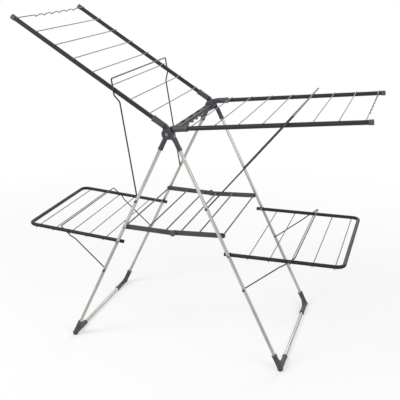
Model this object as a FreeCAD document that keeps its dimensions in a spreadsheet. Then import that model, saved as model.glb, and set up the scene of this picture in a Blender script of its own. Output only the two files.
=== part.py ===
"""Folding two-level clothes drying rack, a parametric FreeCAD document.

Frame: +Z up, floor at z = 0, X along the wings (left wing towards -X), Y along the hub bar.
The origin is the point on the floor under the middle of the open rack's bounding box.
"""
import FreeCAD, Part
import os
import Sketcher
from math import acos, atan2, cos, degrees, hypot, radians, sin, tan

V = FreeCAD.Vector
DOWN_Y = V(0, -1, 0)
LEFT, RIGHT = -1, 1
NEAR, FAR = -1, 1
SIDES = {"left": LEFT, "right": RIGHT}
ENDS = {"near": NEAR, "far": FAR}

doc = FreeCAD.newDocument("drying_rack")
sheet = doc.addObject("Spreadsheet::Sheet", "sizes")

SIZES = {
    # overall stance, in mm and degrees
    "hub_height": 950, "leg_half_angle": 25.5, "leg_offset_left": 4.5, "leg_offset_right": 18,
    # the outer leg frame's plane from the rack's middle, and how the others stand inside it
    "leg_plane": 292, "leg_clearance": 5.5, "wing_inset": 6,
    # tubes and wires
    "leg_radius": 6.75, "floor_bar_radius": 6.5, "rail_radius": 9, "lower_rail_radius": 7.5,
    "tube_wall": 1, "wire_radius": 2, "prop_radius": 3, "lower_prop_radius": 2.5,
    # fits
    "running_fit": 0.08, "body_gap": 0.5, "side_gap": 1.5, "saddle_depth": 0.6,
    # hub
    "eye_radius": 22, "eye_thickness": 9.4, "eye_gap": 0.6, "bolt_radius": 4,
    "bolt_head_radius": 7.5, "bolt_head_height": 2.6, "bolt_slot_width": 1.5, "bolt_grip": 22,
    "boss_radius": 15, "boss_height": 3.4, "boss_wall": 4, "boss_root": 1,
    "sleeve_start": 26, "leg_sleeve_wall": 3, "wing_sleeve_wall": 3.2,
    "leg_sleeve_end": 80, "wing_sleeve_end": 82, "neck_taper": 20,
    "leg_neck_trim": 7, "tube_end": 31,
    "collar_length": 9, "collar_wall": 0.8,
    # sock-clip bar between the hubs
    "clip_bar_width": 24, "clip_bar_height": 12, "ledge_height": 3, "groove_height": 4,
    "groove_depth": 3.5, "clip_margin": 58.4, "clip_count": 8, "clip_width": 48,
    "clip_drop": 17, "clip_thickness": 3, "clip_root": 2, "clip_tip": 7,
    "slot_margin": 64, "slot_count": 5, "slot_length": 46, "slot_width": 11, "slot_depth": 5,
    "slot_inset": 2.5,
    # upper wings
    "wing_length": 780, "wing_offset": 17, "wing_angle_left": 32.25, "wing_angle_right": 6,
    "wire_first": 102, "wire_last_inset": 120, "wire_count": 7, "end_wire_inset": 24,
    "cap_length": 16, "cap_wall": 1.6, "cap_plug": 12,
    "notch_first": 155, "notch_last_inset": 105, "notch_count": 6, "notch_depth": 9,
    # props of the upper wings
    "prop_pivot": 330, "prop_reach_left": 269, "prop_reach_right": 462,
    "hook_clearance": 6, "loop_above": 48, "prop_kink": 52, "prop_bend": 9, "pivot_bend": 5,
    # lower wings and their props
    "lower_pivot": 539, "lower_length_left": 418, "lower_length_right": 448,
    "lower_angle_left": 4, "lower_angle_right": 0.5, "lower_tail": 22, "lower_corner": 30,
    "lower_wire_first": 72, "lower_wire_last_inset": 34, "lower_wire_count": 5,
    "lower_prop_pivot": 689, "lower_prop_reach": 236, "lower_hook_clearance": 14,
    "lower_loop_above": 34, "lower_prop_kink": 44,
    "pivot_pin_radius": 3, "pin_head_radius": 6, "pin_head_height": 2, "prop_cap_radius": 5.5,
    "prop_cap_height": 4, "prop_cap_floor": 1,
    # shelf between the legs
    "shelf_pivot": 462, "shelf_sag": 8, "bar_height": 20, "bar_thickness": 5, "bar_gap": 0.5,
    "rod_radius": 3, "rod_pitch": 78, "rod_inset": 32, "rod_lift": 6, "knob_radius": 13,
    "knob_height": 4, "knob_pin_radius": 4, "open_pivot_gap": 0.4,
    # feet
    "foot_centre": 11, "foot_radius": 12, "foot_sleeve": 62, "foot_sleeve_wall": 3.6,
    "foot_bar_sleeve": 96, "foot_bar_wall": 3.2, "foot_collar": 6, "foot_collar_wall": 1,
    "web_thickness": 8, "web_margin": 8, "web_throat": 24, "socket_floor": 10,
}
for row, (name, value) in enumerate(SIZES.items(), start=1):
    sheet.set(f"A{row}", name)
    sheet.set(f"B{row}", str(value))
    sheet.setAlias(f"B{row}", name)
doc.recompute()


def size(name):
    """The value of a named cell."""
    return float(sheet.get(name))


def cell(name):
    """The expression that reads a named cell."""
    return f"sizes.{name}"


# ---------------------------------------------------------------- small builders

def label(obj, name):
    obj.Label = name
    return obj


def along(start, direction):
    """A placement whose own +Z runs along a direction from a start point."""
    return FreeCAD.Placement(start, FreeCAD.Rotation(V(0, 0, 1), direction))


def cylinder(name, start, end, radius):
    """A solid round bar between two points, its radius an expression of the sheet."""
    obj = label(doc.addObject("Part::Cylinder", name), name)
    obj.setExpression("Radius", radius)
    obj.Height = (end - start).Length
    obj.Placement = along(start, end - start)
    return obj


def cone(name, start, end, radius_start, radius_end):
    obj = label(doc.addObject("Part::Cone", name), name)
    obj.setExpression("Radius1", radius_start)
    obj.setExpression("Radius2", radius_end)
    obj.Height = (end - start).Length
    obj.Placement = along(start, end - start)
    return obj


def sphere(name, centre, radius):
    obj = label(doc.addObject("Part::Sphere", name), name)
    obj.setExpression("Radius", radius)
    obj.Placement.Base = centre
    return obj


def fuse(name, *shapes):
    obj = label(doc.addObject("Part::MultiFuse", name), name)
    obj.Shapes = list(shapes)
    obj.Refine = True
    return obj


def cut(name, base, *tools):
    """The base less its tools."""
    tool = tools[0] if len(tools) == 1 else fuse(name + "_tools", *tools)
    obj = label(doc.addObject("Part::Cut", name), name)
    obj.Base = base
    obj.Tool = tool
    return obj


def group(name, *shapes):
    """Separate solids that share one node."""
    obj = label(doc.addObject("Part::Compound", name), name)
    obj.Links = list(shapes)
    return obj


def tube(name, start, end, radius, *tools):
    """A hollow round tube between two points, less the tools that notch or drill it."""
    outer = cylinder(name + "_outer", start, end, radius)
    inner = cylinder(name + "_bore", start, end, f"{radius} - {cell('tube_wall')}")
    return cut(name, outer, inner, *tools)


def bent_edges(points, bends):
    """Straight runs through the points, joined by tangent arcs, one bend radius a corner."""
    edges = []
    last = points[0]
    for before, corner, after, bend in zip(points, points[1:], points[2:], bends):
        inward = (before - corner).normalize()
        outward = (after - corner).normalize()
        turn = inward.getAngle(outward)
        trim = bend / tan(turn / 2)
        start = corner + inward * trim
        end = corner + outward * trim
        middle_way = (inward + outward).normalize()
        middle = corner + middle_way * (bend / sin(turn / 2) - bend)
        edges.append(Part.LineSegment(last, start).toShape())
        edges.append(Part.Arc(start, middle, end).toShape())
        last = end
    edges.append(Part.LineSegment(last, points[-1]).toShape())
    return edges


def swept(name, edges, radius):
    """A round wire swept along joined edges."""
    path = label(doc.addObject("Part::Feature", name + "_path"), name + "_path")
    path.Shape = Part.Wire(edges)
    ring = label(doc.addObject("Part::Circle", name + "_ring"), name + "_ring")
    ring.setExpression("Radius", radius)
    first = edges[0]
    ring.Placement = along(first.Vertexes[0].Point, first.tangentAt(first.FirstParameter))
    sweep = label(doc.addObject("Part::Sweep", name), name)
    sweep.Sections = [ring]
    sweep.Spine = (path, [f"Edge{i + 1}" for i in range(len(edges))])
    sweep.Solid = True
    return sweep


def plate(name, outline, thickness):
    """A flat plate: a closed outline in an XZ plane, extruded along Y."""
    edge = label(doc.addObject("Part::Polygon", name + "_outline"), name + "_outline")
    edge.Nodes = outline
    edge.Close = True
    solid = label(doc.addObject("Part::Extrusion", name), name)
    solid.Base = edge
    solid.DirMode = "Custom"
    solid.Dir = V(0, 1, 0)
    solid.setExpression("LengthFwd", thickness)
    solid.Solid = True
    return solid


def spread(first, last, count):
    """Evenly spaced places from the first to the last."""
    steps = int(count) - 1
    return [first + (last - first) * i / steps for i in range(steps + 1)]


def origin_part(body, role):
    """A body's own plane or axis."""
    return next(f for f in body.Origin.OriginFeatures if f.Role == role)


def rectangle(body, name, plane, left, bottom, width, height):
    """A fully constrained rectangle sketch; each size is an expression of the sheet."""
    sketch = body.newObject("Sketcher::SketchObject", name)
    sketch.AttachmentSupport = (origin_part(body, plane), [""])
    sketch.MapMode = "FlatFace"
    corners = [V(0, 0, 0), V(10, 0, 0), V(10, 10, 0), V(0, 10, 0)]
    for i in range(4):
        sketch.addGeometry(Part.LineSegment(corners[i], corners[(i + 1) % 4]), False)
    for i in range(4):
        sketch.addConstraint(Sketcher.Constraint("Coincident", i, 2, (i + 1) % 4, 1))
    for i, kind in enumerate(("Horizontal", "Vertical", "Horizontal", "Vertical")):
        sketch.addConstraint(Sketcher.Constraint(kind, i))
    dimensions = (
        ("wide", "DistanceX", 0, 1, 0, 2, width), ("tall", "DistanceY", 1, 1, 1, 2, height),
    )
    for title, kind, a, a_end, b, b_end, expression in dimensions:
        index = sketch.addConstraint(Sketcher.Constraint(kind, a, a_end, b, b_end, 10.0))
        sketch.renameConstraint(index, title)
        sketch.setExpression(f"Constraints.{title}", expression)
    sketch.setExpression("AttachmentOffset.Base.x", left)
    sketch.setExpression("AttachmentOffset.Base.y", bottom)
    sketch.addConstraint(Sketcher.Constraint("Coincident", 0, 1, -1, 1))
    return sketch


def ring_sketch(body, name, x, y, radius):
    """A circle on a body's XZ plane, its size and place expressions of the sheet."""
    sketch = body.newObject("Sketcher::SketchObject", name)
    sketch.AttachmentSupport = (origin_part(body, "XZ_Plane"), [""])
    sketch.MapMode = "FlatFace"
    sketch.addGeometry(Part.Circle(V(0, 0, 0), V(0, 0, 1), 3), False)
    sketch.addConstraint(Sketcher.Constraint("Coincident", 0, 3, -1, 1))
    index = sketch.addConstraint(Sketcher.Constraint("Radius", 0, 3.0))
    sketch.renameConstraint(index, "radius")
    sketch.setExpression("Constraints.radius", radius)
    sketch.setExpression("AttachmentOffset.Base.x", f"{x}")
    sketch.setExpression("AttachmentOffset.Base.y", y)
    return sketch


def pad(body, name, sketch, length, both_ways=False):
    feature = body.newObject("PartDesign::Pad", name)
    feature.Profile = sketch
    feature.setExpression("Length", length)
    feature.Midplane = both_ways
    return feature


def pocket(body, name, sketch, length, both_ways=False):
    feature = body.newObject("PartDesign::Pocket", name)
    feature.Profile = sketch
    feature.setExpression("Length", length)
    feature.Midplane = both_ways
    return feature


# ---------------------------------------------------------------- places in the XZ plane

def wing_reach(side):
    """How far a wing's capped end stands from the hub axis along X."""
    angle = radians(size(f"wing_angle_{side}"))
    corner = size("rail_radius") + size("cap_wall")
    lift = size("wing_offset")
    return (size("wing_length") + size("cap_wall")) * cos(angle) + (corner - lift) * sin(angle)


HUB = V((wing_reach("left") - wing_reach("right")) / 2, 0, size("hub_height"))


def leg_axes(side):
    """Unit vectors down a leg and square to it, away from the rack."""
    angle = radians(size("leg_half_angle"))
    sign = SIDES[side]
    return V(sign * sin(angle), 0, -cos(angle)), V(sign * cos(angle), 0, sin(angle))


def leg_point(side, run, y=0.0):
    """A point on a leg's axis, at a distance down the leg from the hub."""
    down, out = leg_axes(side)
    return HUB + down * run + out * size(f"leg_offset_{side}") + V(0, y, 0)


def wing_axes(side):
    """Unit vectors out along a wing and up from its plane."""
    angle = radians(size(f"wing_angle_{side}"))
    sign = SIDES[side]
    return V(sign * cos(angle), 0, sin(angle)), V(-sign * sin(angle), 0, cos(angle))


def wing_point(side, run, y=0.0, lift=0.0):
    """A point on the rail axis of an upper wing, or a lift above it."""
    out, up = wing_axes(side)
    return HUB + out * run + up * (size("wing_offset") + lift) + V(0, y, 0)


def lower_axes(side):
    angle = radians(size(f"lower_angle_{side}"))
    sign = SIDES[side]
    return V(sign * cos(angle), 0, sin(angle)), V(-sign * sin(angle), 0, cos(angle))


def lower_point(side, run, y=0.0, lift=0.0):
    """A point on the tube axis of a lower wing, measured from its pivot on the leg."""
    out, up = lower_axes(side)
    return leg_point(side, size("lower_pivot"), y) + out * run + up * lift


def leg_plane(side):
    """The plane of a leg frame; the left frame folds inside the right one."""
    inset = 2 * size("leg_radius") + size("leg_clearance") if side == "left" else 0
    return size("leg_plane") - inset


def wing_plane():
    """The plane of the upper wings' rails."""
    return size("leg_plane") - size("wing_inset")


def inner_face(side):
    """The inner face of a leg's tube, from the middle plane."""
    return leg_plane(side) - size("leg_radius")


def lower_plane(side):
    """The plane of a lower wing's rails, just inside its legs."""
    return inner_face(side) - size("body_gap") - size("lower_rail_radius")


def prop_plane(side):
    """The plane of a prop's arms, a bend's width inside its legs."""
    return inner_face(side) - size("body_gap") - size("pivot_bend")


# ---------------------------------------------------------------- hub

def layer(index):
    """Inner and outer plane of one of the four eyes stacked on a hub bolt."""
    outer = leg_plane("right") + size("eye_thickness") + size("eye_gap")
    step = size("eye_thickness") + size("eye_gap")
    start = outer - (4 - index) * step
    return start, start + size("eye_thickness")


def neck_outline(direction, square, offset, y, half, trim):
    """The eye's tangents to the two edges of a sleeve, then a taper along the sleeve.

    The trim keeps the edge that faces the folding wing back from the sleeve's own edge.
    """
    def at(run, aside):
        return HUB + direction * run + square * aside + V(0, y, 0)

    start, eye = size("sleeve_start"), size("eye_radius")
    points = []
    for way, edge in ((1, offset + half - trim), (-1, offset - half)):
        lean = atan2(edge, start) + way * acos(eye / hypot(start, edge))
        corners = [at(eye * cos(lean), eye * sin(lean)), at(start, edge),
                   at(start + size("neck_taper"), (edge + offset) / 2)]
        points += corners if way > 0 else corners[::-1]
    return points


def hub_arm(name, direction, square, offset, plane, end, index, tube_radius, wall, sleeve_end,
            trim):
    """A moulded eye on the hub bolt with a sleeve beside it that holds a tube.

    The sleeve's axis stands an offset from the bolt, along the square direction.
    """
    inner, outer = (end * y for y in layer(index))
    eye = cylinder(name + "_eye", HUB + V(0, inner, 0), HUB + V(0, outer, 0), cell("eye_radius"))
    axis_start = HUB + square * offset + V(0, end * plane, 0)
    half = size(tube_radius) + size(wall)
    mouth = axis_start + direction * size(sleeve_end)
    body_radius = f"{cell(tube_radius)} + {cell(wall)}"
    sleeve_root = axis_start + direction * size("sleeve_start")
    sleeve = cylinder(name + "_sleeve", sleeve_root, mouth, body_radius)
    collar_root = mouth - direction * size("collar_length")
    collar_radius = f"{body_radius} + {cell('collar_wall')}"
    collar = cylinder(name + "_collar", collar_root, mouth, collar_radius)
    outline = neck_outline(direction, square, offset, min(inner, outer), half, trim)
    neck = plate(name + "_neck", outline, cell("eye_thickness"))
    blank = fuse(name + "_blank", eye, neck, sleeve, collar)
    bore_root = axis_start + direction * size("tube_end")
    bore = cylinder(name + "_bore", bore_root, mouth + direction, cell(tube_radius))
    hole_radius = f"{cell('bolt_radius')} + {cell('running_fit')}"
    beyond = V(0, end * size("eye_thickness"), 0)
    hole_root = HUB + V(0, inner, 0) - beyond
    hole = cylinder(name + "_hole", hole_root, HUB + V(0, outer, 0) + beyond, hole_radius)
    return cut(name, blank, bore, hole)


def leg_arm(name, side, end, index):
    down, out = leg_axes(side)
    offset = size(f"leg_offset_{side}")
    return hub_arm(name, down, out, offset, leg_plane(side), end, index,
                   "leg_radius", "leg_sleeve_wall", "leg_sleeve_end", size("leg_neck_trim"))


def wing_arm(name, side, end, index):
    out, up = wing_axes(side)
    return hub_arm(name, out, up, size("wing_offset"), wing_plane(), end, index,
                   "rail_radius", "wing_sleeve_wall", "wing_sleeve_end", 0)


def make_bolts(bar_end):
    """The two hub bolts, axles of all the arms, each with a slotted head."""
    bolts = []
    for word, end in ENDS.items():
        outer = layer(3)[1] + size("eye_gap") / 2
        root = HUB + V(0, end * (bar_end - size("bolt_grip")), 0)
        head = HUB + V(0, end * outer, 0)
        shank = cylinder(f"bolt_shank_{word}", root, head, cell("bolt_radius"))
        top = head + V(0, end * size("bolt_head_height"), 0)
        cap = cylinder(f"bolt_head_{word}", head, top, cell("bolt_head_radius"))
        slot = label(doc.addObject("Part::Box", f"bolt_slot_{word}"), f"bolt_slot_{word}")
        slot.setExpression("Length", f"{cell('bolt_head_radius')} * 2")
        slot.setExpression("Width", cell("bolt_head_height"))
        slot.setExpression("Height", cell("bolt_slot_width"))
        back = 0 if end > 0 else -size("bolt_head_height")
        corner = V(-size("bolt_head_radius"), back, -size("bolt_slot_width") / 2)
        slot.Placement.Base = (head + top) / 2 + corner
        bolts.append(cut(f"bolt_{word}", fuse(f"bolt_blank_{word}", shank, cap), slot))
    group("hub_bolts", *bolts)


def row(body, name, feature, places):
    """A feature repeated along Y at evenly spaced places, the first of them its own."""
    pattern = body.newObject("PartDesign::LinearPattern", name)
    pattern.Originals = [feature]
    pattern.Direction = (origin_part(body, "Y_Axis"), [""])
    pattern.Length = places[-1] - places[0]
    pattern.Occurrences = len(places)
    body.Tip = pattern


def clip_outline(body, middle):
    """A sock clip seen from the side: thin at its root, deep at its blunt far end."""
    sketch = body.newObject("Sketcher::SketchObject", "clip_outline")
    sketch.AttachmentSupport = (origin_part(body, "YZ_Plane"), [""])
    sketch.MapMode = "FlatFace"
    half, drop = size("clip_width") / 2, size("clip_drop")
    top = size("clip_bar_height") / 2 - size("ledge_height") - size("groove_height")
    low = -size("clip_bar_height") / 2 - size("clip_root")
    corners = [
        V(middle - half, top, 0), V(middle + half, top, 0), V(middle + half, -drop, 0),
        V(middle + half - size("clip_tip"), -drop, 0), V(middle - half, low, 0),
    ]
    count = len(corners)
    for i in range(count):
        sketch.addGeometry(Part.LineSegment(corners[i], corners[(i + 1) % count]), False)
    for i in range(count):
        sketch.addConstraint(Sketcher.Constraint("Coincident", i, 2, (i + 1) % count, 1))
    for i in range(count):
        sketch.addConstraint(Sketcher.Constraint("Block", i))
    return sketch


def make_clip_bar(bar_end):
    """The bar between the hubs: pockets along its top, a groove and sock clips on its side."""
    body = label(doc.addObject("PartDesign::Body", "sock_clip_bar"), "sock_clip_bar")
    width, height = cell("clip_bar_width"), cell("clip_bar_height")
    bar = rectangle(body, "bar_outline", "XY_Plane", f"-{width} / 2", f"-{bar_end}", width,
                    f"{2 * bar_end}")
    pad(body, "bar", bar, height, both_ways=True)
    last = bar_end - size("slot_margin")
    places = spread(-last, last, size("slot_count"))
    panel = rectangle(body, "slot_outline", "XY_Plane", f"-{width} / 2 + {cell('slot_inset')}",
                      f"{places[0]} - {cell('slot_length')} / 2", cell("slot_width"),
                      cell("slot_length"))
    panel.setExpression("AttachmentOffset.Base.z", f"{height} / 2 - {cell('slot_depth')}")
    slots = pocket(body, "slots", panel, f"{cell('slot_depth')} * 2")
    slots.Reversed = True
    row(body, "row_of_slots", slots, places)
    low = f"{height} / 2 - {cell('ledge_height')} - {cell('groove_height')}"
    channel = rectangle(body, "groove_outline", "YZ_Plane", f"-{bar_end}", low,
                        f"{2 * bar_end}", cell("groove_height"))
    channel.setExpression("AttachmentOffset.Base.z", f"{width} / 2 - {cell('groove_depth')}")
    groove = pocket(body, "groove", channel, f"{cell('groove_depth')} * 2")
    groove.Reversed = True
    last = bar_end - size("clip_margin")
    places = spread(-last, last, size("clip_count"))
    wedge = clip_outline(body, places[0])
    wedge.setExpression("AttachmentOffset.Base.z", f"{width} / 2 - {cell('clip_thickness')}")
    clip = pad(body, "clip", wedge, cell("clip_thickness"))
    row(body, "row_of_clips", clip, places)
    for word, end in ENDS.items():
        hole = ring_sketch(body, f"bolt_hole_{word}_outline", 0, "0", cell("bolt_radius"))
        hole.setExpression("AttachmentOffset.Base.z", f"{-end * bar_end}")
        drill = pocket(body, f"bolt_hole_{word}", hole, cell("bolt_grip"))
        drill.Reversed = end > 0
        body.Tip = drill
    body.Placement.Base = HUB


def make_hub():
    """The two hub bolts and the sock-clip bar that joins them."""
    bar_end = layer(0)[0] - size("eye_gap")
    make_bolts(bar_end)
    make_clip_bar(bar_end)


# ---------------------------------------------------------------- legs and feet

def foot_run(side):
    """The run down a leg's axis to the middle of its foot's corner."""
    down, out = leg_axes(side)
    fall = size("hub_height") - size("foot_centre") + out.z * size(f"leg_offset_{side}")
    return fall / -down.z


def across(point, half, radius, name):
    """A drill along Y through a tube at a point."""
    return cylinder(name, point - V(0, half, 0), point + V(0, half, 0), radius)


def make_leg(side, word):
    """One leg: its hub arm, its tube with the pivot holes, and its foot."""
    end = ENDS[word]
    plane = end * leg_plane(side)
    name = f"{side}_leg_{word}"
    leg_arm(f"{side}_leg_arm_{word}", side, end, 0 if side == "left" else 3)
    half = size("leg_radius") * 2
    loose = cell("running_fit")
    holes = [
        ("prop_pivot", f"{cell('prop_radius')} + {loose}"),
        ("lower_pivot", cell("pivot_pin_radius")),
        ("lower_prop_pivot", f"{cell('lower_prop_radius')} + {loose}"),
    ]
    if side == "left":
        holes.append(("shelf_pivot", f"{cell('rod_radius')} + {loose}"))
    drills = [across(leg_point(side, size(at), plane), half, radius, f"{name}_{at}")
              for at, radius in holes]
    start = leg_point(side, size("tube_end"), plane)
    stop = leg_point(side, foot_run(side) - size("socket_floor"), plane)
    tube(name, start, stop, cell("leg_radius"), *drills)
    make_foot(side, word)


def foot_web(name, corner, up, inward):
    """The web in a foot's corner, its free edge one hollow arc from sleeve to sleeve."""
    margin = size("web_margin")
    top = corner + up * (size("foot_sleeve") - margin)
    side = corner + inward * (size("foot_bar_sleeve") - margin)
    throat = corner + (up + inward) * size("web_throat")
    edges = [Part.LineSegment(corner, top), Part.Arc(top, throat, side),
             Part.LineSegment(side, corner)]
    outline = label(doc.addObject("Part::Feature", name + "_outline"), name + "_outline")
    outline.Shape = Part.Wire([edge.toShape() for edge in edges])
    web = label(doc.addObject("Part::Extrusion", name), name)
    web.Base = outline
    web.DirMode = "Custom"
    web.Dir = up.cross(inward).normalize()
    web.setExpression("LengthFwd", cell("web_thickness"))
    web.Symmetric = True
    web.Solid = True
    return web


def make_foot(side, word):
    """A moulded elbow that joins a leg to the floor bar, with a web in the corner."""
    end = ENDS[word]
    name = f"{side}_foot_{word}"
    down, _ = leg_axes(side)
    corner = leg_point(side, foot_run(side), end * leg_plane(side))
    inward = V(0, -end, 0)
    knuckle = sphere(name + "_knuckle", corner, cell("foot_radius"))
    pieces, sockets = [knuckle], []
    sleeves = (
        ("leg", -down, "foot_sleeve", "leg_radius", "foot_sleeve_wall"),
        ("bar", inward, "foot_bar_sleeve", "floor_bar_radius", "foot_bar_wall"),
    )
    for part, way, length, bore, wall in sleeves:
        mouth = corner + way * size(length)
        radius = f"{cell(bore)} + {cell(wall)}"
        pieces.append(cylinder(f"{name}_{part}_sleeve", corner, mouth, radius))
        rim = mouth - way * size("foot_collar")
        rim_radius = f"{radius} + {cell('foot_collar_wall')}"
        pieces.append(cylinder(f"{name}_{part}_collar", rim, mouth, rim_radius))
        sockets.append(cylinder(f"{name}_{part}_socket", corner + way * size("socket_floor"),
                                mouth + way, cell(bore)))
    pieces.append(foot_web(name + "_web", corner, -down, inward))
    span = size("foot_bar_sleeve") * 3
    floor = label(doc.addObject("Part::Box", name + "_floor"), name + "_floor")
    floor.setExpression("Length", f"{cell('foot_bar_sleeve')} * 3")
    floor.setExpression("Width", f"{cell('foot_bar_sleeve')} * 3")
    floor.setExpression("Height", cell("foot_radius"))
    floor.Placement.Base = V(corner.x - span / 2, corner.y - span / 2, -size("foot_radius"))
    cut(name, fuse(name + "_blank", *pieces), floor, *sockets)


def make_floor_bar(side):
    """The steel bar along the floor between a leg frame's two feet."""
    corner = leg_point(side, foot_run(side))
    half = leg_plane(side) - size("socket_floor")
    tube(f"{side}_floor_bar", corner - V(0, half, 0), corner + V(0, half, 0),
         cell("floor_bar_radius"))


# ---------------------------------------------------------------- upper wings

def end_wire_run():
    return size("wing_length") - size("end_wire_inset")


def make_wing(side):
    """One upper wing: two rails with end caps, straight wires and the notched end wire."""
    plane = wing_plane()
    wire, rail = size("wire_radius"), size("rail_radius")
    lift = rail + wire - size("saddle_depth")
    last = size("wing_length") - size("wire_last_inset")
    runs = spread(size("wire_first"), last, size("wire_count"))
    half = plane + rail
    wires = []
    for i, run in enumerate(runs):
        start, stop = wing_point(side, run, -half, lift), wing_point(side, run, half, lift)
        wires.append(cylinder(f"{side}_wire_{i}", start, stop, cell("wire_radius")))
    group(f"{side}_wing_wires", *wires)
    make_end_wire(side, end_wire_run(), lift, half)
    caps = []
    for word, end in ENDS.items():
        name = f"{side}_rail_{word}"
        saddles = []
        for i, run in enumerate(runs + [end_wire_run()]):
            near = wing_point(side, run, end * (plane - 2 * rail), lift)
            past = wing_point(side, run, end * (plane + 2 * rail), lift)
            saddles.append(cylinder(f"{name}_saddle_{i}", near, past, cell("wire_radius")))
        start = wing_point(side, size("tube_end"), end * plane)
        stop = wing_point(side, size("wing_length"), end * plane)
        tube(name, start, stop, cell("rail_radius"), *saddles)
        caps.append(make_rail_cap(side, word))
        arm_layer = {"left": 2, "right": 1}[side]
        wing_arm(f"{side}_wing_arm_{word}", side, end, arm_layer)
    group(f"{side}_rail_caps", *caps)


def make_rail_cap(side, word):
    """A push-on plastic cap at the end of a rail, with its plug inside the tube."""
    plane = ENDS[word] * wing_plane()
    name = f"{side}_rail_cap_{word}"
    out, _ = wing_axes(side)
    stop = wing_point(side, size("wing_length"), plane)
    tip = stop + out * size("cap_wall")
    root = stop - out * size("cap_length")
    shell = cylinder(name + "_shell", root, tip, f"{cell('rail_radius')} + {cell('cap_wall')}")
    hollow = cylinder(name + "_hollow", root - out, stop, cell("rail_radius"))
    plug_radius = f"{cell('rail_radius')} - {cell('tube_wall')}"
    plug = cylinder(name + "_plug", stop - out * size("cap_plug"), tip, plug_radius)
    return fuse(name, cut(name + "_sleeve", shell, hollow), plug)


def make_end_wire(side, run, lift, half):
    """The outer wire: straight ends, and between them rounded humps that meet in notches."""
    name = f"{side}_end_wire"
    radius = cell("wire_radius")
    depth = size("notch_depth")
    notches = spread(size("notch_first") - half, half - size("notch_last_inset"),
                     size("notch_count"))
    first, last = notches[0], notches[-1]
    slope = (notches[1] - first) / 4

    def at(y, drop=0.0):
        return wing_point(side, run, y, lift - drop)

    pieces = [
        cylinder(name + "_start", at(-half), at(first - slope), radius),
        sphere(name + "_bend", at(first - slope), radius),
        cylinder(name + "_slope", at(first - slope), at(first, depth), radius),
    ]
    for i, y in enumerate(notches):
        pieces.append(sphere(f"{name}_notch_{i}", at(y, depth), radius))
    for i, (y, after) in enumerate(zip(notches, notches[1:])):
        arc = Part.Arc(at(y, depth), at((y + after) / 2), at(after, depth)).toShape()
        pieces.append(swept(f"{name}_hump_{i}", [arc], radius))
    pieces += [
        cylinder(name + "_rise", at(last, depth), at(last + slope), radius),
        sphere(name + "_turn", at(last + slope), radius),
        cylinder(name + "_stop", at(last + slope), at(half), radius),
    ]
    fuse(name, *pieces)


def make_prop(name, pivot, rail, prop_radius, arm, outer, below, above, kink, leg_outer):
    """A bent wire prop: pivots in two legs, hooks under both rails and crosses above them."""
    toward = rail - pivot
    reach = toward.Length
    toward = toward.normalize()
    stub = leg_outer + size("prop_cap_height") + size("body_gap")

    def at(run, y):
        return pivot + toward * run + V(0, y, 0)

    half = [
        (0, stub), (0, arm), (reach - kink, arm), (reach - below, outer), (reach + above, outer),
    ]
    points = [at(run, -y) for run, y in half] + [at(run, y) for run, y in reversed(half)]
    pivot_bend, bend = size("pivot_bend"), size("prop_bend")
    bends = [pivot_bend] + [bend] * (len(points) - 4) + [pivot_bend]
    swept(name, bent_edges(points, bends), prop_radius)
    caps = []
    for word, end in ENDS.items():
        root = pivot + V(0, end * (leg_outer + size("body_gap")), 0)
        tip = pivot + V(0, end * stub, 0)
        floor = V(0, end * size("prop_cap_floor"), 0)
        cap = cylinder(f"{name}_cap_blank_{word}", root, tip + floor, cell("prop_cap_radius"))
        bore = cylinder(f"{name}_cap_bore_{word}", root - floor, tip, prop_radius)
        caps.append(cut(f"{name}_cap_{word}", cap, bore))
    group(name + "_caps", *caps)


def make_upper_prop(side):
    pivot = leg_point(side, size("prop_pivot"))
    rail = wing_point(side, size(f"prop_reach_{side}"))
    outer = wing_plane() + size("rail_radius") + size("side_gap") + size("prop_radius")
    below = size("rail_radius") + size("prop_radius") + size("hook_clearance")
    outer_face = leg_plane(side) + size("leg_radius")
    make_prop(f"{side}_prop", pivot, rail, cell("prop_radius"), prop_plane(side), outer, below,
              size("loop_above"), size("prop_kink"), outer_face)


# ---------------------------------------------------------------- lower wings

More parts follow.
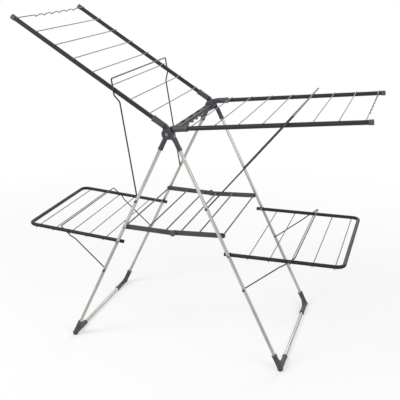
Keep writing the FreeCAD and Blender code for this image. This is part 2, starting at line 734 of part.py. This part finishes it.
def make_lower_wing(side):
    """One lower wing: a bent tube frame, pinned to the legs, with wires under it."""
    plane = lower_plane(side)
    name = f"{side}_lower_frame"
    radius = size("lower_rail_radius")
    tail, reach = -size("lower_tail"), size(f"lower_length_{side}")
    corners = [
        lower_point(side, tail, -plane), lower_point(side, reach, -plane),
        lower_point(side, reach, plane), lower_point(side, tail, plane),
    ]
    edges = bent_edges(corners, [size("lower_corner")] * 2)
    outer = swept(name + "_outer", edges, cell("lower_rail_radius"))
    bore_radius = f"{cell('lower_rail_radius')} - {cell('tube_wall')}"
    bore = swept(name + "_bore", edges, bore_radius)
    drop = -(radius + size("wire_radius") - size("saddle_depth"))
    runs = spread(size("lower_wire_first"), reach - size("lower_wire_last_inset"),
                  size("lower_wire_count"))
    wires, saddles = [], []
    half = plane + radius / 2
    for i, run in enumerate(runs):
        start, stop = lower_point(side, run, -half, drop), lower_point(side, run, half, drop)
        wires.append(cylinder(f"{side}_lower_wire_{i}", start, stop, cell("wire_radius")))
        saddles.append(cylinder(f"{name}_saddle_{i}", start - V(0, radius, 0),
                                stop + V(0, radius, 0), cell("wire_radius")))
    loose = f"{cell('pivot_pin_radius')} + {cell('running_fit')}"
    pivot = leg_point(side, size("lower_pivot"))
    drill = across(pivot, plane + 2 * radius, loose, name + "_drill")
    cut(name, outer, bore, drill, *saddles)
    group(f"{side}_lower_wires", *wires)
    pins = []
    for word, end in ENDS.items():
        outer_face = end * (leg_plane(side) + size("leg_radius"))
        inner = end * (plane - radius - size("body_gap"))
        shank = cylinder(f"{side}_lower_pin_shank_{word}", pivot + V(0, inner, 0),
                         pivot + V(0, outer_face, 0), cell("pivot_pin_radius"))
        head_tip = pivot + V(0, outer_face + end * size("pin_head_height"), 0)
        head = cylinder(f"{side}_lower_pin_head_{word}", pivot + V(0, outer_face, 0), head_tip,
                        cell("pin_head_radius"))
        tail_tip = pivot + V(0, inner - end * size("pin_head_height"), 0)
        tail_head = cylinder(f"{side}_lower_pin_tail_{word}", tail_tip, pivot + V(0, inner, 0),
                             cell("pin_head_radius"))
        pins.append(fuse(f"{side}_lower_pin_{word}", shank, head, tail_head))
    group(f"{side}_lower_pins", *pins)


def make_lower_prop(side):
    pivot = leg_point(side, size("lower_prop_pivot"))
    rail = lower_point(side, size("lower_prop_reach"))
    tubes = size("lower_rail_radius") + size("lower_prop_radius")
    outer = lower_plane(side) + size("side_gap") + tubes
    below = tubes + size("lower_hook_clearance")
    outer_face = leg_plane(side) + size("leg_radius")
    make_prop(f"{side}_lower_prop", pivot, rail, cell("lower_prop_radius"), prop_plane(side),
              outer, below, size("lower_loop_above"), size("lower_prop_kink"), outer_face)


# ---------------------------------------------------------------- shelf

def shelf_middle():
    """The shelf's centre hinge: halfway between its two pivots, a little below them."""
    left = leg_point("left", size("shelf_pivot"))
    right = leg_point("right", size("shelf_pivot"))
    return (left + right) / 2 - V(0, 0, size("shelf_sag"))


def shelf_planes(side):
    """Inner and outer plane of a shelf half's bars; the left half's bars lie outside."""
    outer = inner_face("left") - size("body_gap")
    if side == "right":
        outer -= size("bar_thickness") + size("bar_gap")
    return outer - size("bar_thickness"), outer


def make_shelf_bar(side, word):
    """A flat bar with round ends, from a leg's pivot to the centre hinge."""
    end = ENDS[word]
    name = f"{side}_shelf_bar_{word}"
    pivot = leg_point(side, size("shelf_pivot"))
    middle = shelf_middle()
    inner, outer = shelf_planes(side)
    way = (middle - pivot).normalize()
    body = label(doc.addObject("PartDesign::Body", name), name)
    height = cell("bar_height")
    length = (middle - pivot).Length
    blade = rectangle(body, "blade_outline", "XZ_Plane", "0", f"-{height} / 2",
                      f"{length}", height)
    pad(body, "blade", blade, cell("bar_thickness"))
    loose = f" + {cell('running_fit')}" if side == "left" else ""
    holes = [
        ("pivot", 0.0, "0", cell("rod_radius")),
        ("hinge", length, "0", cell("knob_pin_radius") + loose),
    ]
    for i, run in enumerate(rod_runs(length)):
        holes.append((f"rod_{i}", run, rod_side(way), cell("rod_radius")))
    for title, x in (("round_start", 0.0), ("round_stop", length)):
        disc = ring_sketch(body, title, x, "0", f"{height} / 2")
        pad(body, title + "_pad", disc, cell("bar_thickness"))
    for title, x, y, radius in holes:
        hole = ring_sketch(body, title, x, y, radius)
        drill = pocket(body, title + "_hole", hole, f"{cell('bar_thickness')} * 4", both_ways=True)
        body.Tip = drill
    turn = degrees(atan2(way.z, way.x))
    outer_y = -inner if end < 0 else outer
    body.Placement = FreeCAD.Placement(V(pivot.x, outer_y, pivot.z), FreeCAD.Rotation(DOWN_Y, turn))


def rod_side(way):
    """The rods' place across a bar, towards the shelf's top face."""
    return cell("rod_lift") if way.x > 0 else f"-{cell('rod_lift')}"


def rod_runs(length):
    """Runs of a shelf half's two cross rods, measured from its leg pivot."""
    last = length - size("rod_inset")
    return [last - size("rod_pitch"), last]


def make_shelf_half(side):
    """Two bars, two cross rods and the pivot rod at the leg."""
    for word in ENDS:
        make_shelf_bar(side, word)
    pivot = leg_point(side, size("shelf_pivot"))
    middle = shelf_middle()
    length = (middle - pivot).Length
    way = (middle - pivot).normalize()
    above = V(-way.z, 0, way.x) if way.x > 0 else V(way.z, 0, -way.x)
    _, outer = shelf_planes(side)
    rods = []
    for i, run in enumerate(rod_runs(length)):
        at = pivot + way * run + above * size("rod_lift")
        rods.append(across(at, outer, cell("rod_radius"), f"{side}_shelf_rod_{i}"))
    group(f"{side}_shelf_rods", *rods)
    if side == "left":
        half = leg_plane(side) + size("leg_radius")
    else:
        half = inner_face(side) - size("open_pivot_gap")
    across(pivot, half, cell("rod_radius"), f"{side}_shelf_pivot_rod")


def make_shelf_knobs():
    """The two centre hinges: a knob outside each left bar, its pin pressed in the right bar."""
    middle = shelf_middle()
    inner, _ = shelf_planes("right")
    _, outer = shelf_planes("left")
    knobs = []
    for word, end in ENDS.items():
        root = middle + V(0, end * inner, 0)
        seat = middle + V(0, end * (outer + size("bar_gap")), 0)
        tip = seat + V(0, end * size("knob_height"), 0)
        pin = cylinder(f"knob_pin_{word}", root, seat, cell("knob_pin_radius"))
        head = cylinder(f"knob_head_{word}", seat, tip, cell("knob_radius"))
        knobs.append(fuse(f"knob_{word}", pin, head))
    group("shelf_hinge_knobs", *knobs)


def add_boss(word):
    """The raised ring round the bolt head, part of the outermost eye."""
    name = f"right_leg_arm_{word}"
    arm = doc.getObjectsByLabel(name)[0]
    label(arm, name + "_plain")
    end = ENDS[word]
    root = HUB + V(0, end * (layer(3)[1] - size("boss_root")), 0)
    tip = HUB + V(0, end * (layer(3)[1] + size("boss_height")), 0)
    ring = cylinder(name + "_boss", root, tip, cell("boss_radius"))
    face = HUB + V(0, end * layer(3)[1], 0)
    hollow_radius = f"{cell('boss_radius')} - {cell('boss_wall')}"
    recess = cylinder(name + "_recess", face, tip + V(0, end, 0), hollow_radius)
    drill = across(root, size("eye_thickness"), f"{cell('bolt_radius')} + {cell('running_fit')}",
                   name + "_boss_drill")
    fuse(name, arm, cut(name + "_ring", ring, recess, drill))


def build():
    make_hub()
    for side in SIDES:
        for word in ENDS:
            make_leg(side, word)
        make_floor_bar(side)
        make_wing(side)
        make_upper_prop(side)
        make_lower_wing(side)
        make_lower_prop(side)
        make_shelf_half(side)
    for word in ENDS:
        add_boss(word)
    make_shelf_knobs()


def node_names():
    """Every node of the rack, by its label."""
    names = ["sock_clip_bar", "hub_bolts", "shelf_hinge_knobs"]
    for side in SIDES:
        names += [f"{side}_{piece}" for piece in (
            "floor_bar", "wing_wires", "end_wire", "rail_caps", "prop", "prop_caps",
            "lower_frame", "lower_wires", "lower_pins", "lower_prop", "lower_prop_caps",
            "shelf_rods", "shelf_pivot_rod")]
        for word in ENDS:
            names += [f"{side}_{piece}_{word}" for piece in (
                "leg_arm", "leg", "foot", "rail", "wing_arm", "shelf_bar")]
    return names


def export():
    """Check every object, then write one STEP file for each node."""
    doc.recompute()
    for obj in doc.Objects:
        if "Invalid" in obj.State or "Error" in obj.State:
            raise RuntimeError(f"{obj.Label} failed: {obj.State}")
    os.makedirs("parts", exist_ok=True)
    for name in node_names():
        found = doc.getObjectsByLabel(name)
        if len(found) != 1:
            raise RuntimeError(f"{len(found)} objects are labelled {name}")
        shape = found[0].Shape
        if shape.isNull() or not shape.isValid():
            raise RuntimeError(f"{name} has no valid shape")
        shape.exportStep(f"parts/{name}.step")


build()
export()
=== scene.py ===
"""The drying rack's finishes, detail and studio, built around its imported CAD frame."""
from math import cos, radians, sin

import bpy
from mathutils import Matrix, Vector

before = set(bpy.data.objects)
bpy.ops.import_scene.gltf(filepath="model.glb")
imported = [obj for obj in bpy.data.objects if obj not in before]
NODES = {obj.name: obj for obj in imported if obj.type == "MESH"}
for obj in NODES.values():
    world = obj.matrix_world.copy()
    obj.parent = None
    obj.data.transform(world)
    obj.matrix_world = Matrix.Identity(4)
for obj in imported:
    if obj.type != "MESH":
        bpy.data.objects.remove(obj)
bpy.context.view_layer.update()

# The photograph's camera, its lens and shift in parts of the picture's width.
CAMERA = {
    "place": (0.8932, -2.8432, 1.6335), "azimuth": 17.15, "elevation": 15.56,
    "focal": 1.8145, "shift_x": -0.0211, "shift_y": -0.1194,
}
SENSOR_WIDTH = 36.0
VIEW_DEPTH = 60.0

# Studio: metres, watts and shares of white.
FLOOR_HALF = 14.0
FLOOR_GREY = 0.93
GLOW_NEAR, GLOW_FAR = 0.5, 1.0
FADE_START, FADE_END = 1.0, 2.6
WORLD_FILL = 0.5
LAMP_TARGET = (0, 0, 0.6)
LAMPS = (
    ("key_lamp", (-2.2, -2.6, 3.4), 100, 1.6),
    ("fill_lamp", (2.8, -1.8, 2.4), 30, 1.6),
    ("back_lamp", (0.6, 3.2, 2.8), 42, 2.0),
)
LEG_LEAN = 25.5


# ---------------------------------------------------------------- materials

class Nodes:
    """A material's node tree, with short ways to add and join its nodes."""

    def __init__(self, name):
        self.material = bpy.data.materials.new(name)
        self.material.use_nodes = True
        self.tree = self.material.node_tree
        self.shader = self.tree.nodes["Principled BSDF"]
        self.place = self.add("ShaderNodeTexCoord").outputs["Object"]

    def add(self, kind, **settings):
        node = self.tree.nodes.new(kind)
        for key, value in settings.items():
            setattr(node, key, value)
        return node

    def link(self, source, target):
        self.tree.links.new(source, target)

    def stretched(self, scale, turn=(0, 0, 0)):
        """The object's coordinates turned, then scaled along each axis."""
        spin = self.add("ShaderNodeMapping")
        spin.inputs["Rotation"].default_value = turn
        self.link(self.place, spin.inputs["Vector"])
        stretch = self.add("ShaderNodeMapping")
        stretch.inputs["Scale"].default_value = scale
        self.link(spin.outputs["Vector"], stretch.inputs["Vector"])
        return stretch.outputs["Vector"]

    def noise(self, vector, scale, detail=3.0, roughness=0.5):
        node = self.add("ShaderNodeTexNoise")
        self.link(vector, node.inputs["Vector"])
        node.inputs["Scale"].default_value = scale
        node.inputs["Detail"].default_value = detail
        node.inputs["Roughness"].default_value = roughness
        return node.outputs["Fac"]

    def ramp(self, factor, stops):
        """A colour ramp: (position, colour) stops, a plain number for grey."""
        node = self.add("ShaderNodeValToRGB")
        elements = node.color_ramp.elements
        while len(elements) < len(stops):
            elements.new(0.5)
        for element, (position, colour) in zip(elements, stops):
            element.position = position
            grey = isinstance(colour, (int, float))
            element.color = (colour, colour, colour, 1) if grey else (*colour, 1)
        self.link(factor, node.inputs["Fac"])
        return node.outputs["Color"]

    def mix(self, factor, first, second):
        """Two colours mixed by a factor."""
        node = self.add("ShaderNodeMix", data_type="RGBA")
        self.link(factor, node.inputs["Factor"])
        for socket, value in (("A", first), ("B", second)):
            target = next(s for s in node.inputs if s.name == socket and s.type == "RGBA")
            if isinstance(value, tuple):
                target.default_value = (*value, 1)
            else:
                self.link(value, target)
        return next(s for s in node.outputs if s.type == "RGBA")

    def math(self, operation, first, second):
        node = self.add("ShaderNodeMath", operation=operation)
        for socket, value in zip(node.inputs, (first, second)):
            if isinstance(value, (int, float)):
                socket.default_value = value
            else:
                self.link(value, socket)
        return node.outputs[0]

    def edges(self, spread=8.0):
        """1 along worn outer edges, 0 on the round of a thin tube or wire."""
        point = self.add("ShaderNodeNewGeometry").outputs["Pointiness"]
        lift = self.math("SUBTRACT", point, 0.58)
        node = self.add("ShaderNodeMath", operation="MULTIPLY", use_clamp=True)
        self.link(lift, node.inputs[0])
        node.inputs[1].default_value = spread
        return node.outputs[0]

    def bump(self, height, strength, distance):
        node = self.add("ShaderNodeBump")
        node.inputs["Strength"].default_value = strength
        node.inputs["Distance"].default_value = distance
        self.link(height, node.inputs["Height"])
        self.link(node.outputs["Normal"], self.shader.inputs["Normal"])

    def colour(self, source):
        self.link(source, self.shader.inputs["Base Color"])

    def rough(self, source):
        self.link(source, self.shader.inputs["Roughness"])

    def set(self, **values):
        for key, value in values.items():
            self.shader.inputs[key.replace("_", " ")].default_value = value


def brushed_steel(name, lean):
    """Stainless tube with long grinding streaks that run down a leg's lean, in radians."""
    n = Nodes(name)
    turned = n.stretched((230, 230, 3), turn=(0, lean, 0))
    streaks = n.noise(turned, 1.0, 8, 0.7)
    clouds = n.noise(n.place, 9.0, 3)
    bright = n.ramp(streaks, [(0.34, (0.20, 0.19, 0.175)), (0.50, (0.44, 0.43, 0.405)),
                              (0.66, (0.78, 0.765, 0.74))])
    dull = n.ramp(clouds, [(0.3, (0.38, 0.365, 0.34)), (0.7, (0.52, 0.51, 0.485))])
    blend = n.ramp(n.noise(n.place, 22.0, 2), [(0.35, 0.0), (0.75, 0.35)])
    n.colour(n.mix(blend, bright, dull))
    n.rough(n.ramp(streaks, [(0.2, 0.24), (0.8, 0.42)]))
    n.bump(streaks, 0.16, 0.0004)
    n.set(Metallic=1.0, Anisotropic=0.4)
    return n.material


def floor_steel():
    """The floor bars' steel, its grinding streaks along Y."""
    n = Nodes("floor_bar_steel")
    streaks = n.noise(n.stretched((230, 3, 230)), 1.0, 8, 0.7)
    n.colour(n.ramp(streaks, [(0.34, (0.19, 0.18, 0.165)), (0.50, (0.37, 0.36, 0.335)),
                              (0.66, (0.62, 0.605, 0.58))]))
    n.rough(n.ramp(streaks, [(0.2, 0.26), (0.8, 0.44)]))
    n.bump(streaks, 0.16, 0.0004)
    n.set(Metallic=1.0, Anisotropic=0.4)
    return n.material


def powder_coat(name, deep, pale, wear, grain=1100.0, rough=(0.34, 0.5)):
    """Satin powder coat: fine orange peel, faint clouding, and paler rubbed edges."""
    n = Nodes(name)
    peel = n.noise(n.place, grain, 2)
    clouds = n.noise(n.place, 14.0, 4)
    base = n.ramp(clouds, [(0.3, deep), (0.72, pale)])
    speck = n.ramp(n.noise(n.place, 620.0, 1), [(0.62, 0.0), (0.74, 0.35)])
    flecked = n.mix(speck, base, wear)
    n.colour(n.mix(n.edges(5.0), flecked, wear))
    n.rough(n.ramp(n.noise(n.place, 60.0, 3), [(0.3, rough[0]), (0.7, rough[1])]))
    n.bump(peel, 0.18, 0.0003)
    n.set(Specular_IOR_Level=0.2)
    return n.material


def moulded_plastic(name, deep, pale, wear):
    """Slate plastic with a fine moulded grain, flow marks and edges rubbed paler."""
    n = Nodes(name)
    grain = n.noise(n.place, 1900.0, 2, 0.6)
    flow = n.noise(n.stretched((18, 18, 46)), 1.0, 4)
    base = n.ramp(flow, [(0.28, deep), (0.75, pale)])
    rubbed = n.mix(n.edges(6.5), base, wear)
    dust = n.ramp(n.noise(n.place, 240.0, 5), [(0.6, 0.0), (0.85, 0.22)])
    n.colour(n.mix(dust, rubbed, wear))
    n.rough(n.ramp(flow, [(0.3, 0.44), (0.75, 0.6)]))
    n.bump(grain, 0.3, 0.0004)
    return n.material


def dark_steel(name):
    """Blackened fastener steel with fine tool marks."""
    n = Nodes(name)
    marks = n.noise(n.stretched((2600, 90, 2600)), 1.0, 3)
    n.colour(n.ramp(marks, [(0.3, (0.16, 0.16, 0.165)), (0.7, (0.30, 0.30, 0.31))]))
    n.rough(n.ramp(marks, [(0.3, 0.2), (0.7, 0.4)]))
    n.bump(marks, 0.2, 0.0002)
    n.set(Metallic=1.0)
    return n.material


def assign(node, material):
    slots = NODES[node].material_slots
    for slot in slots:
        slot.material = material


def smooth(node, angle=35.0):
    """Smooth shading over the node's round faces, sharp at its edges."""
    obj = NODES[node]
    bpy.ops.object.select_all(action="DESELECT")
    obj.select_set(True)
    bpy.context.view_layer.objects.active = obj
    bpy.ops.object.shade_smooth_by_angle(angle=radians(angle))


def finish_nodes():
    """Gives every CAD node its finish."""
    lean = radians(LEG_LEAN)
    legs = {
        "left": brushed_steel("left_leg_steel", -lean),
        "right": brushed_steel("right_leg_steel", lean),
    }
    bar_steel = floor_steel()
    dark = powder_coat("rail_coat", (0.010, 0.011, 0.013), (0.016, 0.017, 0.020),
                       (0.045, 0.047, 0.052))
    wire = powder_coat("wire_coat", (0.085, 0.088, 0.094), (0.125, 0.129, 0.136),
                       (0.21, 0.21, 0.22), rough=(0.28, 0.42))
    prop = powder_coat("prop_coat", (0.030, 0.032, 0.036), (0.048, 0.051, 0.057),
                       (0.11, 0.115, 0.12), rough=(0.3, 0.45))
    shelf = powder_coat("shelf_coat", (0.030, 0.035, 0.041), (0.046, 0.053, 0.061),
                        (0.11, 0.12, 0.13))
    plastic = moulded_plastic("slate_plastic", (0.028, 0.032, 0.037), (0.044, 0.049, 0.056),
                              (0.10, 0.108, 0.116))
    foot = moulded_plastic("foot_plastic", (0.030, 0.032, 0.034), (0.050, 0.053, 0.056),
                           (0.12, 0.125, 0.13))
    fastener = dark_steel("fastener_steel")
    for name in NODES:
        tail = name.split("_", 1)[1]
        if tail in ("leg_near", "leg_far"):
            assign(name, legs[name.split("_")[0]])
        elif tail == "floor_bar":
            assign(name, bar_steel)
        elif tail in ("rail_near", "rail_far", "lower_frame"):
            assign(name, dark)
        elif tail in ("wing_wires", "lower_wires", "end_wire"):
            assign(name, wire)
        elif tail in ("prop", "lower_prop", "shelf_rods", "shelf_pivot_rod"):
            assign(name, prop)
        elif tail.startswith("shelf_bar"):
            assign(name, shelf)
        elif tail.startswith("foot"):
            assign(name, foot)
        elif name == "hub_bolts" or tail == "lower_pins":
            assign(name, fastener)
        else:
            assign(name, plastic)
        smooth(name)


# ---------------------------------------------------------------- studio

def seen_rays(tree):
    """1 for rays from the camera and from glossy surfaces, 0 for the rest."""
    path = tree.nodes.new("ShaderNodeLightPath")
    rays = tree.nodes.new("ShaderNodeMath")
    rays.operation = "MAXIMUM"
    tree.links.new(path.outputs["Is Camera Ray"], rays.inputs[0])
    tree.links.new(path.outputs["Is Glossy Ray"], rays.inputs[1])
    return rays.outputs[0]


def floor_glow(tree):
    """The floor's share of plain white, which grows with distance from the rack."""
    place = tree.nodes.new("ShaderNodeTexCoord")
    far = tree.nodes.new("ShaderNodeVectorMath")
    far.operation = "LENGTH"
    tree.links.new(place.outputs["Object"], far.inputs[0])
    fade = tree.nodes.new("ShaderNodeMapRange")
    fade.inputs["From Min"].default_value = FADE_START
    fade.inputs["From Max"].default_value = FADE_END
    fade.inputs["To Min"].default_value = GLOW_NEAR
    fade.inputs["To Max"].default_value = GLOW_FAR
    tree.links.new(far.outputs["Value"], fade.inputs["Value"])
    share = tree.nodes.new("ShaderNodeMath")
    share.operation = "MULTIPLY"
    tree.links.new(seen_rays(tree), share.inputs[0])
    tree.links.new(fade.outputs["Result"], share.inputs[1])
    return share.outputs[0]


def studio_floor():
    """A plain pale floor that keeps the rack's shadow and fades to white around it."""
    material = bpy.data.materials.new("studio_floor")
    material.use_nodes = True
    tree = material.node_tree
    tree.nodes.clear()
    out = tree.nodes.new("ShaderNodeOutputMaterial")
    lit = tree.nodes.new("ShaderNodeBsdfDiffuse")
    lit.inputs["Color"].default_value = (FLOOR_GREY, FLOOR_GREY, FLOOR_GREY, 1)
    glow = tree.nodes.new("ShaderNodeEmission")
    glow.inputs["Color"].default_value = (1, 1, 1, 1)
    mixer = tree.nodes.new("ShaderNodeMixShader")
    tree.links.new(floor_glow(tree), mixer.inputs[0])
    tree.links.new(lit.outputs[0], mixer.inputs[1])
    tree.links.new(glow.outputs[0], mixer.inputs[2])
    tree.links.new(mixer.outputs[0], out.inputs[0])
    mesh = bpy.data.meshes.new("studio_floor")
    corners = [(x * FLOOR_HALF, y * FLOOR_HALF, 0)
               for x, y in ((-1, -1), (1, -1), (1, 1), (-1, 1))]
    mesh.from_pydata(corners, [], [(0, 1, 2, 3)])
    floor = bpy.data.objects.new("studio_floor", mesh)
    bpy.context.collection.objects.link(floor)
    floor.data.materials.append(material)


def studio_world():
    """White where it is seen or mirrored, and a gentler fill on the rack itself."""
    world = bpy.data.worlds.new("studio_world")
    world.use_nodes = True
    bpy.context.scene.world = world
    tree = world.node_tree
    tree.nodes.clear()
    out = tree.nodes.new("ShaderNodeOutputWorld")
    mixer = tree.nodes.new("ShaderNodeMixShader")
    tree.links.new(seen_rays(tree), mixer.inputs[0])
    for socket, strength in ((1, WORLD_FILL), (2, 1.0)):
        light = tree.nodes.new("ShaderNodeBackground")
        light.inputs["Color"].default_value = (1, 1, 1, 1)
        light.inputs["Strength"].default_value = strength
        tree.links.new(light.outputs[0], mixer.inputs[socket])
    tree.links.new(mixer.outputs[0], out.inputs[0])


def studio():
    """A pale floor, a pale world and soft lamps."""
    studio_floor()
    studio_world()
    for settings in LAMPS:
        lamp(*settings)


def lamp(name, place, power, width):
    """A square soft lamp that faces the middle of the rack."""
    light = bpy.data.lights.new(name, "AREA")
    light.energy = power
    light.size = width
    obj = bpy.data.objects.new(name, light)
    bpy.context.collection.objects.link(obj)
    obj.location = place
    aim = Vector(LAMP_TARGET) - Vector(place)
    obj.rotation_euler = aim.to_track_quat("-Z", "Y").to_euler()


def camera():
    """A camera at the photograph's angle."""
    data = bpy.data.cameras.new("photo_camera")
    data.sensor_width = SENSOR_WIDTH
    data.lens = CAMERA["focal"] * data.sensor_width
    data.shift_x = CAMERA["shift_x"]
    data.shift_y = CAMERA["shift_y"]
    data.clip_end = VIEW_DEPTH
    obj = bpy.data.objects.new("photo_camera", data)
    bpy.context.collection.objects.link(obj)
    azimuth, elevation = radians(CAMERA["azimuth"]), radians(CAMERA["elevation"])
    forward = Vector((-sin(azimuth) * cos(elevation), cos(azimuth) * cos(elevation),
                      -sin(elevation)))
    obj.location = CAMERA["place"]
    obj.rotation_euler = forward.to_track_quat("-Z", "Y").to_euler()
    bpy.context.scene.camera = obj


finish_nodes()
studio()
camera()

bpy.context.scene.view_settings.view_transform = "Standard"
